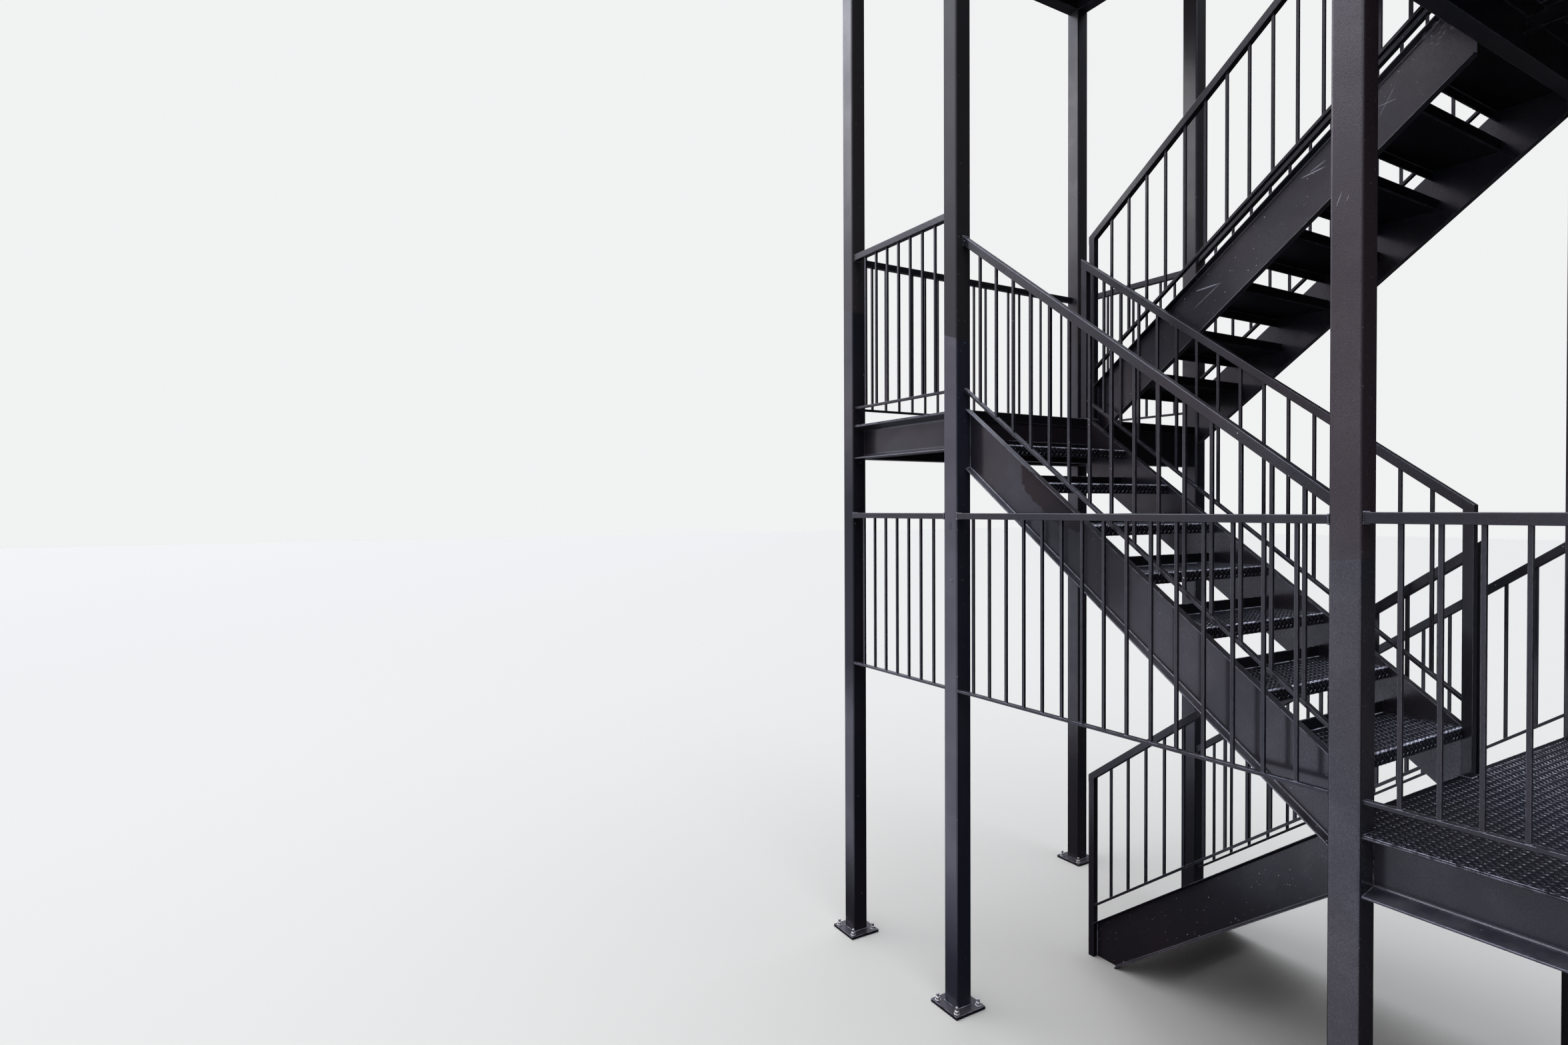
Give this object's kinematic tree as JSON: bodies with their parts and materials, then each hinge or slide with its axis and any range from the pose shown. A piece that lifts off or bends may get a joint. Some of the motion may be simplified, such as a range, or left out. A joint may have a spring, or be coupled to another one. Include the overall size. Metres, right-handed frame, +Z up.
{
  "type": "outdoor steel fire escape stair",
  "caption": "Free-standing black steel switchback escape stair with checker plate treads and landings, picket guards and square tube posts.",
  "frame": {"origin": "on the ground in the middle of the eight posts, level with the underside of the base plates", "axes": "+Z up, +Y along the flights away from the building side, +X from the terrace side to the yard side"},
  "size_m": [2.2736, 4.0396, 9.555],
  "materials": {
    "post_paint": "satin black paint with a fine grain on square tube",
    "stringer_paint": "satin black paint on rolled channel, light scratches",
    "beam_paint": "satin black paint on rolled channel",
    "rail_paint": "satin black paint, worn lighter along the edges",
    "checker_plate": "black painted raised-pattern plate, lugs worn shiny"
  },
  "bodies": {
    "root": {"post_left_near": "post_paint", "post_left_near_inner": "post_paint", "post_left_far_inner": "post_paint", "post_left_far": "post_paint", "post_right_near": "post_paint", "post_right_near_inner": "post_paint", "post_right_far_inner": "post_paint", "post_right_far": "post_paint", "base_plates": "post_paint", "post_caps": "post_paint", "flight_1_stringers": "stringer_paint", "flight_2_stringers": "stringer_paint", "flight_3_stringers": "stringer_paint", "flight_4_stringers": "stringer_paint", "flight_5_stringers": "stringer_paint", "flight_1_treads": "checker_plate", "flight_2_treads": "checker_plate", "flight_3_treads": "checker_plate", "flight_4_treads": "checker_plate", "flight_5_treads": "checker_plate", "flight_1_rails": "rail_paint", "flight_2_rails": "rail_paint", "flight_3_rails": "rail_paint", "flight_4_rails": "rail_paint", "flight_5_rails": "rail_paint", "landing_1_beams": "beam_paint", "landing_2_beams": "beam_paint", "landing_3_beams": "beam_paint", "landing_4_beams": "beam_paint", "landing_5_beams": "beam_paint", "landing_1_joists": "beam_paint", "landing_2_joists": "beam_paint", "landing_3_joists": "beam_paint", "landing_4_joists": "beam_paint", "landing_5_joists": "beam_paint", "landing_1_deck": "checker_plate", "landing_2_deck": "checker_plate", "landing_3_deck": "checker_plate", "landing_4_deck": "checker_plate", "landing_5_deck": "checker_plate", "landing_1_guards": "rail_paint", "landing_2_guards": "rail_paint", "landing_3_guards": "rail_paint", "landing_4_guards": "rail_paint", "landing_5_guards": "rail_paint", "terrace_guards": "rail_paint"}
  },
  "joints": []
}
